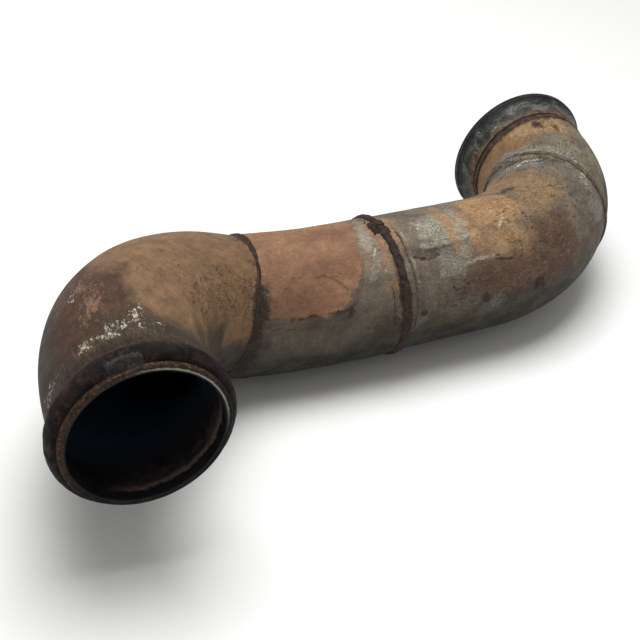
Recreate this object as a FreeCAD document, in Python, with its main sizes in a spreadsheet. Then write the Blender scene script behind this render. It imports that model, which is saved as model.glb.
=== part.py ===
import FreeCAD, Part
import os

import Sketcher
from FreeCAD import Placement, Rotation, Vector

# Offset exhaust pipe: a spigot with a clamp ridge, a rolled inlet elbow, a short middle
# tube, an outlet bend with a straight leg, a mitred stub and a flared clamp flange, all
# butt-welded end to end. The origin is the centre of the inlet mouth. The inlet axis and
# the outlet axis both run along Y, gas flows towards +Y, and the middle tube lies level.

SIZES = [
    # name, value in mm or degrees, meaning
    ("tube_od", 101.6, "outside diameter of every tube"),
    ("tube_wall", 2.0, "wall of every tube"),
    ("root_gap", 1.2, "gap between two tube ends, filled with weld metal"),
    ("spigot_bore_radius", 47.1, "inside of the inlet spigot"),
    ("spigot_radius", 51.5, "outside of the inlet spigot"),
    ("spigot_edge", 0.8, "chamfer outside the spigot's mouth"),
    ("ridge_radius", 57.0, "crest of the rounded clamp ridge"),
    ("ridge_crest", 11.0, "distance from the mouth to the crest"),
    ("ridge_half_width", 7.6, "half the ridge's width at its foot"),
    ("inlet_seam", 19.5, "distance from the mouth to the spigot's weld"),
    ("inlet_bend_radius", 161.0, "centreline radius of the inlet elbow"),
    ("inlet_bend_angle", 77.0, "turn of the inlet elbow"),
    ("inlet_roll", 24.6, "how far the inlet elbow is rolled below level"),
    ("elbow_cut_yaw", -3.2, "direction of the elbow's cut, about Z"),
    ("elbow_cut_pitch", -17.1, "direction of the elbow's cut, above level"),
    ("middle_bow_radius", 730.0, "radius of the slightly bowed middle tube"),
    ("middle_bow_roll", 17.2, "tilt of the bow's plane from upright"),
    ("middle_half_sweep", 7.5, "half the middle tube's sweep before trimming"),
    ("middle_cut_yaw", 2.9, "direction of the cut after the middle tube, about Z"),
    ("middle_cut_pitch", 5.4, "direction of the cut after the middle tube, above level"),
    ("leg_length", 90.0, "straight leg of the outlet bend"),
    ("outlet_bend_radius", 135.3, "centreline radius of the outlet bend"),
    ("outlet_bend_angle", 47.2, "turn of the outlet bend"),
    ("outlet_bend_twist", 7.9, "twist of the outlet bend against the stub"),
    ("stub_cut_yaw", 43.0, "direction of the cut before the stub, about Z"),
    ("stub_cut_pitch", -0.2, "direction of the cut before the stub, above level"),
    ("stub_bend_radius", 99.5, "centreline radius of the stub"),
    ("stub_bend_angle", 36.7, "turn of the stub"),
    ("stub_roll", 6.5, "how far the stub is rolled below level"),
    ("outlet_across", 436.1, "X of the flange's weld"),
    ("outlet_along", 305.5, "Y of the flange's weld"),
    ("outlet_up", -45.1, "Z of the flange's weld"),
    ("trim_angle", 13.0, "extra sweep of a bend, cut off at its slanting seam"),
    ("square_trim_angle", 3.25, "extra sweep of a bend, cut off at its square seam"),
    ("trim_length", 10.0, "extra length of a leg, cut off at the seams"),
    ("flange_radius", 58.8, "rim of the outlet flange"),
    ("flange_hub_radius", 50.3, "outside of the flange's hub"),
    ("flange_bore_radius", 48.3, "inside of the flange's hub"),
    ("flange_length", 24.7, "weld to sealing face"),
    ("flange_hub_length", 4.5, "straight hub behind the cone"),
    ("flange_rim", 4.0, "width of the cylindrical rim"),
    ("flange_cone_step", 1.2, "radius between the cone's end and the rim"),
    ("socket_radius", 51.8, "recess that takes the next pipe's spigot"),
    ("socket_depth", 9.0, "depth of that recess"),
    ("small_bead", 3.1, "section radius of the spigot and flange welds"),
    ("elbow_bead", 3.4, "section radius of the weld after the inlet elbow"),
    ("middle_bead", 4.0, "section radius of the weld after the middle tube"),
    ("stub_bead", 3.2, "section radius of the weld before the stub"),
    ("elbow_bead_ring", 50.8, "radius of the weld ring after the inlet elbow"),
    ("plain_bead_ring", 50.0, "radius of the other weld rings"),
    ("patch_foot", 53.4, "inner radius of the repair weld on the ridge"),
    ("patch_crest", 57.6, "outer radius of the repair weld on the ridge"),
    ("patch_place", 5.0, "distance from the mouth to the repair weld"),
    ("patch_half_width", 3.8, "half the repair weld's width"),
    ("patch_sweep", 25.0, "length of the repair weld as an angle"),
    ("patch_angle", 107.5, "place of the repair weld round the mouth, from +X"),
    ("lump_crest", 54.8, "outer radius of the lump where the middle weld stops"),
    ("lump_place", -2.4, "distance of the lump from the middle seam"),
    ("lump_half_width", 4.6, "half the lump's width"),
    ("lump_sweep", 13.0, "length of the lump as an angle"),
    ("lump_angle", 93.0, "place of the lump round the seam, from level"),
    ("scar_crest", 52.8, "outer radius of the patch weld beside the stub"),
    ("scar_place", -5.4, "distance of the patch weld from the stub's seam"),
    ("scar_half_width", 5.4, "half the patch weld's width"),
    ("scar_sweep", 46.0, "length of the patch weld as an angle"),
    ("scar_angle", 148.0, "place of the patch weld round the seam, from level"),
    ("cap_foot", 49.6, "inner radius of a patch that lies on a tube"),
]
TRIM_WIDTH = 170.0     # the trimming block spans a whole tube
TRIM_HEIGHT = 60.0     # and reaches past the extra sweep
TOUCHING = 1e-6        # points closer than this are one point
UP = Vector(0, 0, 1)
ALONG = Vector(0, 1, 0)
LEVEL = Vector(1, 0, 0)

doc = FreeCAD.newDocument("offset_pipe")
sheet = doc.addObject("Spreadsheet::Sheet", "sizes")
for row, (name, value, meaning) in enumerate(SIZES, start=1):
    sheet.set(f"A{row}", name)
    sheet.set(f"B{row}", str(value))
    sheet.set(f"C{row}", meaning)
    sheet.setAlias(f"B{row}", name)
doc.recompute()

parts = []


def size(name):
    """The value of one cell."""
    return float(sheet.get(name))


def value_of(expression):
    """The value of an expression written with the sheet's names."""
    return float(sheet.evalExpression(expression))


def bound(expression):
    """The same expression as a binding, with every name looked up in the sheet."""
    words = expression.split()
    names = {name for name, _, _ in SIZES}
    return " ".join("sizes." + word if word in names else word for word in words)


def keep(item, label):
    """Label a finished sub-part and list it for the export."""
    item.Label = label
    parts.append(item)
    return item


# Frames along the pipe

def bend_end(start, tangent, toward, radius, angle):
    """End point, tangent and inward direction of an arc."""
    turn = Rotation(tangent.cross(toward), angle)
    centre = start + toward * radius
    return centre + turn.multVec(start - centre), turn.multVec(tangent), turn.multVec(toward)


def bend_frame(start, tangent, toward, radius):
    """Placement whose origin is the bend's centre and whose -Z is the tangent."""
    turn = Rotation(-toward, tangent.cross(toward), -tangent, "ZXY")
    return Placement(start + toward * radius, turn)


def seam_frame(centre, cut):
    """Placement of a cut: Y is the plane's normal, pointing downstream, and Z leans up."""
    yaw = Rotation(UP, size(cut + "_yaw") - 90.0)
    pitch = Rotation(LEVEL, size(cut + "_pitch"))
    return Placement(centre, yaw.multiply(pitch))


# Sketches and features

def sketch_on(body, name):
    """A sketch on the body's own XY plane."""
    sketch = body.newObject("Sketcher::SketchObject", name)
    plane = next(item for item in body.Origin.OriginFeatures if item.Role == "XY_Plane")
    sketch.AttachmentSupport = [(plane, "")]
    sketch.MapMode = "FlatFace"
    return sketch


def bind(sketch, constraint, name, expression):
    """Add a dimension and bind it to the sheet."""
    index = sketch.addConstraint(constraint)
    sketch.renameConstraint(index, name)
    sketch.setExpression(f"Constraints.{name}", bound(expression))


def add_circle(sketch, name, offset, radius):
    """A circle on the X axis, at an offset from the origin."""
    centre = Vector(value_of(offset), 0, 0)
    circle = sketch.addGeometry(Part.Circle(centre, UP, value_of(radius)))
    sketch.addConstraint(Sketcher.Constraint("PointOnObject", circle, 3, -1))
    bind(sketch, Sketcher.Constraint("DistanceX", -1, 1, circle, 3, centre.x), name + "_offset", offset)
    bind(sketch, Sketcher.Constraint("Radius", circle, value_of(radius)), name + "_radius", radius)


def add_outline(sketch, corners):
    """A closed outline. Each corner is (radius, distance along the axis), both expressions.

    A line leads to each corner, or an arc where the corner has a third entry, which gives a
    point on the arc and the arc's radius.
    """
    points = [Vector(value_of(corner[0]), value_of(corner[1]), 0) for corner in corners]
    edges = []
    for index, corner in enumerate(corners):
        start, end = points[index - 1], points[index]
        if len(corner) == 3:
            middle = Vector(value_of(corner[2][0]), value_of(corner[2][1]), 0)
            edge = sketch.addGeometry(Part.Arc(start, middle, end))
            arc = sketch.Geometry[edge]
            forward = arc.StartPoint.distanceToPoint(start) < TOUCHING
            edges.append((edge, 1 if forward else 2, 2 if forward else 1))
            bind(sketch, Sketcher.Constraint("Radius", edge, arc.Radius), f"arc{index}_radius",
                 corner[2][2])
        else:
            edges.append((sketch.addGeometry(Part.LineSegment(start, end)), 1, 2))
    for index, (edge, first, last) in enumerate(edges):
        following = edges[(index + 1) % len(edges)]
        sketch.addConstraint(Sketcher.Constraint("Coincident", edge, last, following[0], following[1]))
        radius, along = corners[index][:2]
        bind(sketch, Sketcher.Constraint("DistanceX", -1, 1, edge, last, points[index].x),
             f"p{index}_radius", radius)
        if abs(points[index].y) < TOUCHING:
            sketch.addConstraint(Sketcher.Constraint("PointOnObject", edge, last, -1))
        else:
            bind(sketch, Sketcher.Constraint("DistanceY", -1, 1, edge, last, points[index].y),
                 f"p{index}_along", along)


def cap(foot, crest, place, half_width):
    """Outline of a low rounded hump: a chord at the foot and an arc over it."""
    rise = f"( {crest} - {foot} )"
    arc_radius = f"( {half_width} ^ 2 + {rise} ^ 2 ) / ( 2 * {rise} )"
    return [
        (foot, f"{place} - {half_width}"),
        (foot, f"{place} + {half_width}", (crest, place, arc_radius)),
    ]


def revolve(body, sketch, forward="360", backward=None):
    """Turn a sketch about the body's Y axis."""
    feature = body.newObject("PartDesign::Revolution", body.Name + "_turn")
    feature.Profile = sketch
    feature.ReferenceAxis = (sketch, ["V_Axis"])
    if backward:
        feature.Type = "TwoAngles"
        feature.setExpression("Angle2", bound(backward))
    feature.setExpression("Angle", bound(forward))


def trim(body, name, seam, downstream):
    """Cut away what lies past a seam, downstream or upstream, and half the root gap."""
    shift = -size("root_gap") / 2 if downstream else size("root_gap") / 2 - TRIM_HEIGHT
    corner = Placement(Vector(-TRIM_WIDTH / 2, shift, -TRIM_WIDTH / 2), Rotation())
    block = body.newObject("PartDesign::SubtractiveBox", name)
    block.Length = TRIM_WIDTH
    block.Width = TRIM_HEIGHT
    block.Height = TRIM_WIDTH
    block.Placement = body.Placement.inverse().multiply(seam).multiply(corner)


def tube_section(body, name, radius):
    """A tube's ring section, a bend radius away from the body's Y axis."""
    section = sketch_on(body, name)
    add_circle(section, "outside", radius, "tube_od / 2")
    add_circle(section, "inside", radius, "tube_od / 2 - tube_wall")
    return section


def tube_body(name, frame, radius, forward, backward):
    """A bent tube whose section is swept about the bend's centre."""
    body = doc.addObject("PartDesign::Body", name)
    body.Placement = frame
    revolve(body, tube_section(body, name + "_section", radius), forward, backward)
    return body


def turned_body(name, frame, corners, sweep="360"):
    """A body turned about its own Y axis from one outline."""
    body = doc.addObject("PartDesign::Body", name)
    body.Placement = frame
    outline = sketch_on(body, name + "_outline")
    add_outline(outline, corners)
    revolve(body, outline, sweep)
    return body


def bead(name, seam, ring, section, neighbours):
    """Weld metal all round a seam: a ring less the pieces that it joins."""
    body = doc.addObject("PartDesign::Body", name + "_ring")
    body.Placement = seam
    circle = sketch_on(body, name + "_section")
    add_circle(circle, "bead", ring, section)
    revolve(body, circle)
    return less(name, body, neighbours)


def patch(name, seam, key, foot, neighbours):
    """Weld metal along part of a seam; key starts the names of its cells."""
    start = Rotation(ALONG, -size(key + "_angle") - size(key + "_sweep") / 2)
    frame = seam.multiply(Placement(Vector(), start))
    outline = cap(foot, key + "_crest", key + "_place", key + "_half_width")
    body = turned_body(name + "_arc", frame, outline, key + "_sweep")
    return less(name, body, neighbours)


def less(name, solid, neighbours):
    """A solid less each of its neighbours."""
    for index, neighbour in enumerate(neighbours):
        cut = doc.addObject("Part::Cut", f"{name}_cut{index}")
        cut.Base = solid
        cut.Tool = neighbour
        solid = cut
    return keep(solid, name)


# Sub-parts, from the inlet to the outlet

def inlet_spigot():
    """Thick short sleeve with a chamfer outside its mouth."""
    end = "inlet_seam - root_gap / 2"
    return keep(turned_body("inlet_spigot", Placement(), [
        ("spigot_bore_radius", end),
        ("spigot_bore_radius", "0"),
        ("spigot_radius - spigot_edge", "0"),
        ("spigot_radius", "spigot_edge"),
        ("spigot_radius", end),
    ]), "inlet_spigot")


def inlet_ridge_ring():
    """Rounded ridge round the spigot, which the clamp grips."""
    outline = cap("spigot_radius", "ridge_radius", "ridge_crest", "ridge_half_width")
    return keep(turned_body("inlet_ridge_ring", Placement(), outline), "inlet_ridge_ring")


def inlet_elbow(start, toward, seams):
    """Bent tube from the spigot, rolled below level and cut askew at its end."""
    frame = bend_frame(start, ALONG, toward, size("inlet_bend_radius"))
    body = tube_body("inlet_elbow", frame, "inlet_bend_radius",
                     "inlet_bend_angle + trim_angle", "square_trim_angle")
    trim(body, "elbow_start", seams["inlet"], False)
    trim(body, "elbow_end", seams["elbow"], True)
    return keep(body, "inlet_elbow")


def middle_tube(start, end, seams):
    """Short tube between the two bends, bowed slightly downwards."""
    chord = end - start
    lean = Rotation(chord, -size("middle_bow_roll")).multVec(UP)
    lean = (lean - chord * (lean.dot(chord) / chord.Length ** 2)).normalize()
    sagitta = chord.Length ** 2 / (8 * size("middle_bow_radius"))
    midpoint = start + chord / 2 - lean * sagitta
    frame = bend_frame(midpoint, Vector(chord).normalize(), lean, size("middle_bow_radius"))
    body = tube_body("middle_tube", frame, "middle_bow_radius",
                     "middle_half_sweep", "middle_half_sweep")
    trim(body, "middle_start", seams["elbow"], False)
    trim(body, "middle_end", seams["middle"], True)
    return keep(body, "middle_tube")


def outlet_bend(start, tangent, toward, seams):
    """Straight leg and bend in one tube. The bend starts at start and the leg lies before it."""
    frame = bend_frame(start, tangent, toward, size("outlet_bend_radius"))
    body = tube_body("outlet_bend", frame, "outlet_bend_radius",
                     "outlet_bend_angle + trim_angle", None)
    leg = body.newObject("PartDesign::Pad", "leg")
    leg.Profile = tube_section(body, "leg_section", "outlet_bend_radius")
    leg.setExpression("Length", bound("leg_length + trim_length"))
    trim(body, "bend_start", seams["middle"], False)
    trim(body, "bend_end", seams["stub"], True)
    return keep(body, "outlet_bend")


def outlet_stub(end, toward, seams):
    """Short bent tube, swept back from the flange and cut askew at its start."""
    frame = bend_frame(end, -ALONG, toward, size("stub_bend_radius"))
    body = tube_body("outlet_stub", frame, "stub_bend_radius",
                     "stub_bend_angle + trim_angle", "square_trim_angle")
    trim(body, "stub_start", seams["stub"], False)
    trim(body, "stub_end", seams["outlet"], True)
    return keep(body, "outlet_stub")


def outlet_flange(seam):
    """Flared flange with a cylindrical rim and a recess for the next spigot."""
    cone_end = "flange_length - flange_rim - flange_cone_step"
    return keep(turned_body("outlet_flange", seam, [
        ("flange_bore_radius", "root_gap / 2"),
        ("flange_hub_radius", "root_gap / 2"),
        ("flange_hub_radius", "flange_hub_length"),
        ("flange_radius - flange_cone_step", cone_end),
        ("flange_radius", "flange_length - flange_rim"),
        ("flange_radius", "flange_length"),
        ("socket_radius", "flange_length"),
        ("socket_radius", "flange_length - socket_depth"),
        ("flange_bore_radius", "flange_length - socket_depth"),
    ]), "outlet_flange")


def welds(seams, spigot, ridge, elbow, middle, bend, stub, flange):
    """The five beads, and the lumps and repairs on them."""
    bead("inlet_weld", seams["inlet"], "plain_bead_ring", "small_bead", [spigot, ridge, elbow])
    patch("ridge_patch_weld", Placement(), "patch", "patch_foot", [ridge, spigot])
    bead("elbow_weld", seams["elbow"], "elbow_bead_ring", "elbow_bead", [elbow, middle])
    ring = bead("middle_weld", seams["middle"], "plain_bead_ring", "middle_bead", [middle, bend])
    patch("middle_weld_lump", seams["middle"], "lump", "cap_foot", [middle, bend, ring])
    ring = bead("stub_weld", seams["stub"], "plain_bead_ring", "stub_bead", [bend, stub])
    patch("stub_patch_weld", seams["stub"], "scar", "cap_foot", [bend, stub, ring])
    bead("flange_weld", seams["outlet"], "plain_bead_ring", "small_bead", [stub, flange])


def build():
    """Follow the centreline in from both ends, then make each piece between its seams."""
    inlet = Vector(0, size("inlet_seam"), 0)
    inlet_toward = Rotation(ALONG, size("inlet_roll")).multVec(LEVEL)
    elbow_end, _, _ = bend_end(inlet, ALONG, inlet_toward,
                               size("inlet_bend_radius"), size("inlet_bend_angle"))

    outlet = Vector(size("outlet_across"), size("outlet_along"), size("outlet_up"))
    stub_toward = Rotation(ALONG, -size("stub_roll")).multVec(-LEVEL)
    stub_start, back, toward = bend_end(outlet, -ALONG, stub_toward,
                                        size("stub_bend_radius"), size("stub_bend_angle"))
    toward = Rotation(-back, size("outlet_bend_twist")).multVec(toward)
    leg_end, back, toward = bend_end(stub_start, back, toward,
                                     size("outlet_bend_radius"), size("outlet_bend_angle"))
    leg_start = leg_end + back * size("leg_length")

    seams = {
        "inlet": Placement(inlet, Rotation()),
        "elbow": seam_frame(elbow_end, "elbow_cut"),
        "middle": seam_frame(leg_start, "middle_cut"),
        "stub": seam_frame(stub_start, "stub_cut"),
        "outlet": Placement(outlet, Rotation()),
    }
    spigot = inlet_spigot()
    ridge = inlet_ridge_ring()
    elbow = inlet_elbow(inlet, inlet_toward, seams)
    middle = middle_tube(elbow_end, leg_start, seams)
    bend = outlet_bend(leg_end, -back, toward, seams)
    stub = outlet_stub(outlet, stub_toward, seams)
    flange = outlet_flange(seams["outlet"])
    welds(seams, spigot, ridge, elbow, middle, bend, stub, flange)


def check():
    """Stop on any failed feature or bad solid."""
    for item in doc.Objects:
        if "Invalid" in item.State or "Error" in item.State:
            raise RuntimeError(f"{item.Label} failed: {item.State}")
    for item in parts:
        shape = item.Shape
        if shape.isNull() or not shape.isValid() or not shape.Solids:
            raise RuntimeError(f"{item.Label} has no valid solid")
        print(f"{item.Label}: {len(shape.Solids)} solid, {shape.Volume:.0f} mm3")


build()
doc.recompute()
check()
os.makedirs("parts", exist_ok=True)
for item in parts:
    item.Shape.exportStep(f"parts/{item.Label}.step")
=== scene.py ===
import math
from typing import NamedTuple

import bpy
import numpy as np
from mathutils import Matrix, Vector, noise


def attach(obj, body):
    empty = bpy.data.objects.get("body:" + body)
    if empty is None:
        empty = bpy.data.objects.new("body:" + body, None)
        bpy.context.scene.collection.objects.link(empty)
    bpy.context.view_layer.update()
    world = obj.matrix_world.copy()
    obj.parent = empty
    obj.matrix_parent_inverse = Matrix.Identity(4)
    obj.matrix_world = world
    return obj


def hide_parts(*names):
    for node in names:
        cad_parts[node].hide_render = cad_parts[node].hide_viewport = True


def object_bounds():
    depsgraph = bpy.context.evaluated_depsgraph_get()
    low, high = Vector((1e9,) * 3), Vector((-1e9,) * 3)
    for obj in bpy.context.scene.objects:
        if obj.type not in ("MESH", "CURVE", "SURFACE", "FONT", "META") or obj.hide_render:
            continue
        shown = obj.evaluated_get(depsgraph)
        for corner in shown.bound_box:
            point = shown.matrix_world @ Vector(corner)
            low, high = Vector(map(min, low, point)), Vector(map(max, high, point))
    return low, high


# Looks of a used exhaust pipe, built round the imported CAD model. Lengths are metres; places on
# a tube are given as millimetres along it and degrees round it.

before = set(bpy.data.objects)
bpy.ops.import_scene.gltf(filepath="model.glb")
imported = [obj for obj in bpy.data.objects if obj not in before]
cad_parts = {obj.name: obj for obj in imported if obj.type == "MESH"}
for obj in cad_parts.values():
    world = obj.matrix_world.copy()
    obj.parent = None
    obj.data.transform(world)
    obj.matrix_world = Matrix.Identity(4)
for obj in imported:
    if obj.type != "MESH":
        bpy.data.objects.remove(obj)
CAD_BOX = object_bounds()

MM = 0.001
UP = Vector((0, 0, 1))
ALONG = Vector((0, 1, 0))
LEVEL = Vector((1, 0, 0))

# Sizes of the CAD model
TUBE_RADIUS = 50.8 * MM
WALL = 2.0 * MM
ROOT_GAP = 1.2 * MM                             # between the ends of two tubes
INLET = Vector((0, 19.5 * MM, 0))               # middle of the seam behind the spigot
ELBOW_BEND, ELBOW_ANGLE, ELBOW_ROLL = 161.0 * MM, 77.0, 24.6
ELBOW_LENGTH = 216 * MM
BOW_BEND, BOW_ROLL = 730.0 * MM, -17.2          # the middle tube's slight bow
MIDDLE_LENGTH = 120 * MM
LEG = 90.0 * MM                                 # straight part before the outlet's bend
BEND_BEND, BEND_ANGLE, BEND_ROLL = 135.3 * MM, 47.2, 7.9
BEND_LENGTH = 201 * MM
STUB_BEND, STUB_ANGLE, STUB_ROLL = 99.5 * MM, 36.7, -6.5
STUB_LENGTH = 63.7 * MM
OUTLET = Vector((436.1, 305.5, -45.1)) * MM     # middle of the seam before the flange
SEAM_TURNS = {"elbow": (-3.2, -17.1), "middle": (2.9, 5.4), "stub": (43.0, -0.2)}   # yaw, pitch

# Sizes of the clamp ends, in millimetres as the profiles give them
MOUTH, MOUTH_CHAMFER, SPIGOT, SPIGOT_END = 47.1, 0.8, 51.5, 18.9
RIDGE_MIDDLE, RIDGE_HALF, RIDGE_HEIGHT, RIDGE_FOOT = 11.0, 7.6, 5.5, 0.1
HUB_BORE, HUB, HUB_START, CONE_START = 48.3, 50.3, 0.6, 4.5
CONE_END, CONE, RIM_START, RIM, RIM_END = 19.5, 57.6, 20.7, 58.8, 24.7
SOCKET, SOCKET_START = 51.8, 15.7

# Fineness of the meshes
GRID = 1.5 * MM             # size of a tube's mesh cell
ROUND = 216                 # points round a tube
BEAD_ROUND = 480            # points round a weld or a turned piece
SEAM_ROUND = 720            # points at which a seam is measured
CUT_STEPS = 12              # steps that find where a skin meets a seam
NO_BEND = 10000.0           # bend radius of a run that looks straight
SHARP_ANGLE = 50            # degrees between two faces that makes their edge sharp

# How the worn skin is drawn
SEED_SHIFT = 17.3           # moves the noise of each seed to a place of its own
WAVE_SINK = 0.3             # millimetres by which the waves are lowered, to stay inside the CAD
TUBE_WAVES = ((0.25, 0.035), (0.10, 0.009))     # height in millimetres and width in metres
CLAMP_WAVES = ((0.5, 0.004), (0.5, 0.014))      # share of the wear and width in metres
BOXY = 3.2                  # how square a mark's corners are; 2 makes an ellipse
# The grime and scorch coats also carry painted shade, and the bare coat a painted sheen.
EDGES = {                   # millimetres over which each coat's field falls from 1 to 0
    "scale": 14, "red": 26, "bare_and_sheen": 16, "veil": 12, "rust": 14, "grime_and_shade": 40, "scorch_and_shade": 9,
    "speck": 16, "flake": 7,
}
BEAD_ROWS = 15              # rows of points across a bead's crown
BEAD_SINK = 0.3             # millimetres by which a bead's edges lie under the skin
BEAD_ROOT = [               # offset and height of a bead's section inside the gap, millimetres
    (0.6, -0.7), (0.6, -1.5), (2.0, -1.9), (1.4, -2.6), (0, -2.8), (-1.4, -2.6), (-2.0, -1.9),
    (-0.6, -1.5), (-0.6, -0.7),
]
RIPPLE_PITCH = 2.6          # millimetres from one ripple of a bead to the next
RIPPLE_LAG = 2.4            # radians by which a ripple lags at the bead's edges
PATCH_ROWS = 17             # rows of points across a patch weld
PATCH_PITCH = 1.6           # its columns for each degree that it spans
PATCH_SINK = 1.0            # millimetres by which its border lies under what is below it
PATCH_FLOOR = 1.3           # millimetres by which its underside does
PATCH_SPARE = 0.6           # millimetres added to its rise, which its roughness lowers again


# Centrelines

def turned(vector, axis, degrees):
    return Matrix.Rotation(math.radians(degrees), 3, axis) @ vector


def bend_end(start, tangent, toward, radius, angle):
    """End point, tangent and inward direction of an arc."""
    axis = tangent.cross(toward)
    centre = start + toward * radius
    end = centre + turned(start - centre, axis, angle)
    return end, turned(tangent, axis, angle), turned(toward, axis, angle)


class Run:
    """A tube's centreline, a straight leg and then an arc, with the radius of its skin.

    Its length is near enough to find the seam at its end.
    """

    def __init__(self, start, tangent, toward, bend_radius, length, skin=TUBE_RADIUS, leg=0.0):
        self.start = np.array(start)
        self.tangent = np.array(tangent.normalized())
        self.toward = np.array(toward.normalized())
        self.side = np.cross(self.tangent, self.toward)
        self.bend_radius = bend_radius
        self.length = length
        self.skin = skin
        self.leg = leg

    def axes(self, along):
        """Centre, tangent and inward direction at each distance along the run."""
        past = along - self.leg
        turn = np.maximum(past, 0)[..., None] / self.bend_radius
        straight = np.minimum(past, 0)[..., None]
        inward = np.cos(turn) * self.toward - np.sin(turn) * self.tangent
        tangent = np.cos(turn) * self.tangent + np.sin(turn) * self.toward
        pivot = self.start + self.bend_radius * self.toward
        return pivot - self.bend_radius * inward + straight * self.tangent, tangent, inward

    def point(self, along, around, height=0.0):
        """Points on the skin or above it; around is in radians from the inward direction."""
        centre, _, inward = self.axes(along)
        out = np.cos(around)[..., None] * inward + np.sin(around)[..., None] * self.side
        return centre + out * (self.skin + np.asarray(height))[..., None]

    def cut(self, seam, around, height, shift, guess):
        """Distance along the run at which the skin meets a plane, for each angle round it."""
        along = np.full_like(around, guess)
        normal = np.array(seam.col[1][:3])
        for _ in range(CUT_STEPS):
            gap = (self.point(along, around, height) - np.array(seam.translation)) @ normal - shift
            _, tangent, _ = self.axes(along)
            along = along - gap / (tangent @ normal)
        return along


def straight(start, skin):
    """A straight run along Y, kept as an arc too wide to bend. Seams cut it at its start."""
    return Run(start, ALONG, UP, NO_BEND, 0.0, skin)


def seam_at(centre, yaw=90.0, pitch=0.0):
    """Frame of a cut: Y is the plane's normal, pointing downstream, and Z leans up.

    A yaw of 90 degrees points it along Y.
    """
    swing = Matrix.Rotation(math.radians(yaw - 90), 4, "Z")
    tilt = Matrix.Rotation(math.radians(pitch), 4, "X")
    return Matrix.Translation(centre) @ (swing @ tilt)


def centrelines():
    """Every run and seam, followed in from both ends as in the CAD model."""
    toward = turned(LEVEL, ALONG, ELBOW_ROLL)
    elbow = Run(INLET, ALONG, toward, ELBOW_BEND, ELBOW_LENGTH)
    elbow_end, _, _ = bend_end(INLET, ALONG, toward, ELBOW_BEND, ELBOW_ANGLE)

    toward = turned(-LEVEL, ALONG, STUB_ROLL)
    stub_start, back, toward = bend_end(OUTLET, -ALONG, toward, STUB_BEND, STUB_ANGLE)
    stub = Run(stub_start, -back, toward, STUB_BEND, STUB_LENGTH)
    toward = turned(toward, -back, BEND_ROLL)
    leg_end, back, toward = bend_end(stub_start, back, toward, BEND_BEND, BEND_ANGLE)
    bend = Run(leg_end, -back, toward, BEND_BEND, BEND_LENGTH, leg=LEG)
    leg_start = leg_end + back * LEG

    chord = leg_start - elbow_end
    lean = turned(UP, chord, BOW_ROLL)
    lean = (lean - chord * lean.dot(chord) / chord.length_squared).normalized()
    half = math.degrees(math.asin(chord.length / 2 / BOW_BEND))
    sideways = chord.cross(lean)
    middle = Run(elbow_end, turned(chord, sideways, -half), turned(lean, sideways, -half),
                 BOW_BEND, MIDDLE_LENGTH)

    runs = {
        "spigot": straight(INLET, SPIGOT * MM),
        "elbow": elbow,
        "middle": middle,
        "bend": bend,
        "stub": stub,
        "flange": straight(OUTLET, HUB * MM),
    }
    seams = {
        "inlet": seam_at(INLET),
        "elbow": seam_at(elbow_end, *SEAM_TURNS["elbow"]),
        "middle": seam_at(leg_start, *SEAM_TURNS["middle"]),
        "stub": seam_at(stub_start, *SEAM_TURNS["stub"]),
        "outlet": seam_at(OUTLET),
    }
    return runs, seams


# Fields over a skin, in millimetres along and degrees round

def arc_mm(around, place):
    """Signed distance round the skin from a place, in millimetres."""
    turn = (around - place + 180) % 360 - 180
    return np.radians(turn) * TUBE_RADIUS / MM


def spot(along, around, place, edge):
    """Field of one rounded patch (along, round, half length, half angle): 0.5 at its edge."""
    u, angle, half_u, half_angle = place
    half_arc = math.radians(half_angle) * TUBE_RADIUS / MM
    across = np.abs(arc_mm(around, angle)) / half_arc
    size = ((np.abs(along - u) / half_u) ** BOXY + across ** BOXY) ** (1 / BOXY)
    return np.clip(0.5 + (1 - size) * min(half_u, half_arc) / edge, 0, 1)


def stroke(along, around, points, half_width):
    """Field of a drawn line through places on the skin: 1 on the line, 0 beside it."""
    best = np.full(along.shape, 1e9)
    for (u0, a0), (u1, a1) in zip(points, points[1:]):
        du, da = u1 - u0, arc_mm(np.array(a1), a0)
        px, py = along - u0, arc_mm(around, a0)
        share = np.clip((px * du + py * da) / (du * du + da * da), 0, 1)
        best = np.minimum(best, np.hypot(px - share * du, py - share * da))
    return np.clip(1 - best / half_width, 0, 1)


def bump_at(points, scale, seed):
    """Smooth noise from -1 to 1 at each point, with features about scale metres wide."""
    flat = points.reshape(-1, 3) / scale + seed * SEED_SHIFT
    values = [noise.noise(Vector(p)) for p in flat]
    return np.array(values).reshape(points.shape[:-1])


def bumps(points, waves, seed):
    """Smooth noise added up from (height, width) pairs, each with a seed of its own."""
    return sum(height * bump_at(points, width, seed + index)
               for index, (height, width) in enumerate(waves))


# Meshes

def outward(vertices, faces):
    """The quads of a closed surface, turned over if they face inwards."""
    first, second, third, fourth = (vertices[faces[:, corner]] for corner in range(4))
    diagonal = third - first
    volume = np.sum(first * (np.cross(second, diagonal) + np.cross(diagonal, fourth)))
    return faces if volume > 0 else faces[:, ::-1]


def mesh_object(name, vertices, faces, materials):
    """A smooth-shaded piece that rides on the part and stands for the CAD node of its name."""
    mesh = bpy.data.meshes.new(name)
    vertices = vertices.reshape(-1, 3)
    mesh.from_pydata(vertices.tolist(), [], outward(vertices, faces).tolist())
    mesh.update()
    mesh.shade_smooth()
    mesh.set_sharp_from_angle(angle=math.radians(SHARP_ANGLE))
    piece = bpy.data.objects.new(name, mesh)
    bpy.context.scene.collection.objects.link(piece)
    for material in materials:
        mesh.materials.append(material)
    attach(piece, "root")
    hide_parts(name)
    return piece


def ring_faces(rows, columns):
    """Quads of a grid that closes on itself both ways."""
    row, column = np.meshgrid(np.arange(rows), np.arange(columns), indexing="ij")
    below, right = (row + 1) % rows, (column + 1) % columns
    corners = [(row, column), (row, right), (below, right), (below, column)]
    return np.stack([r * columns + c for r, c in corners], axis=-1).reshape(-1, 4)


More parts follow.
